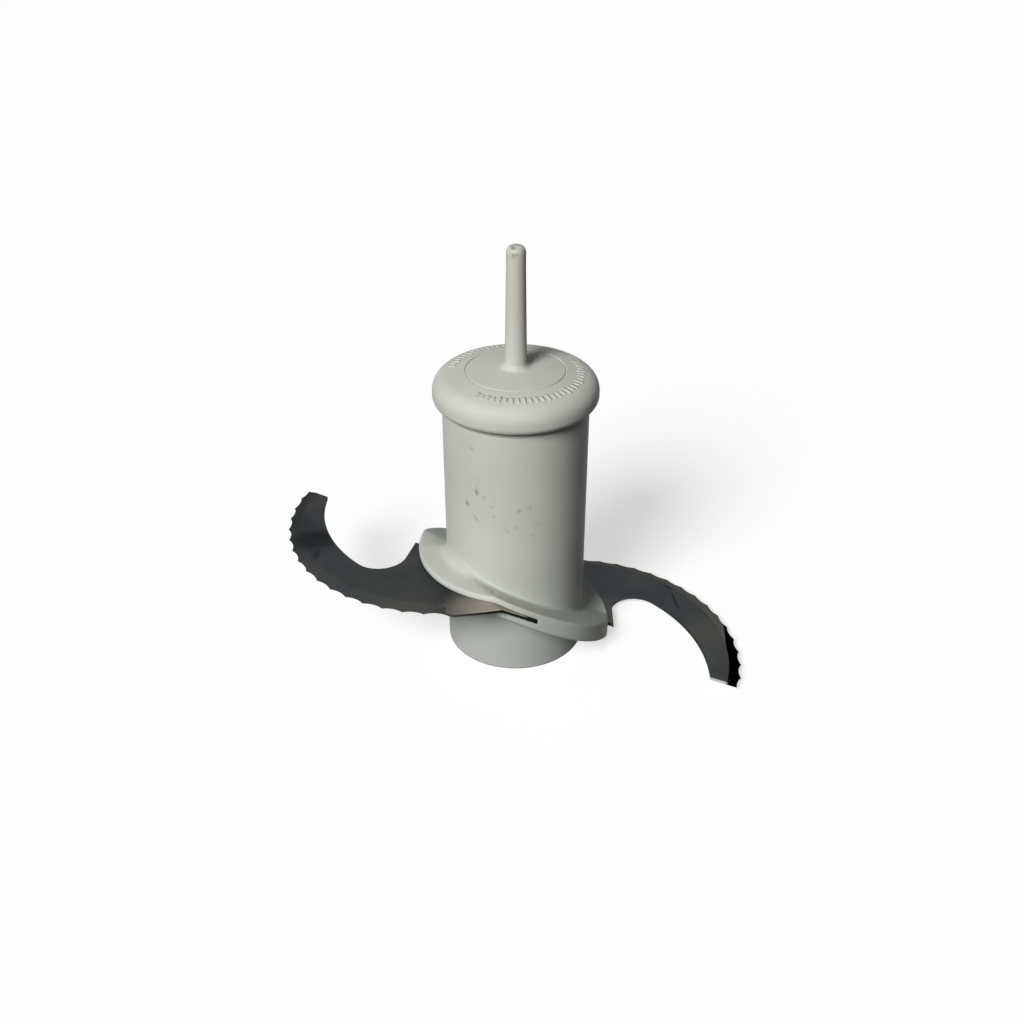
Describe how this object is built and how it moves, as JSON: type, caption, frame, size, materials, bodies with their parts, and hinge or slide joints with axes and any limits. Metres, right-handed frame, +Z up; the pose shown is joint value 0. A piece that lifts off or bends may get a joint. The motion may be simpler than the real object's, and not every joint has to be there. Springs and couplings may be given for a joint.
{
  "type": "food processor blade",
  "caption": "S-shaped serrated steel chopping blade, folded into a high and a low wing, held in the inclined collar of a tall moulded hub with a domed cap and a locating pin.",
  "frame": {"origin": "on the hub's axis in the plane of its bottom rim, at the mouth of the drive bore", "axes": "+Z up the hub's axis towards the locating pin, -X towards the high wing, +X towards the low wing"},
  "size_m": [0.1548, 0.0773, 0.1386],
  "materials": {
    "hub_plastic": "satin moulded, lightly scuffed",
    "blade_steel": "dark satin, ground bevels",
    "cap_plastic": "satin moulded, worn pin tip"
  },
  "bodies": {
    "root": {"hub": "hub_plastic", "blade": "blade_steel", "top_cap": "cap_plastic"}
  },
  "joints": []
}
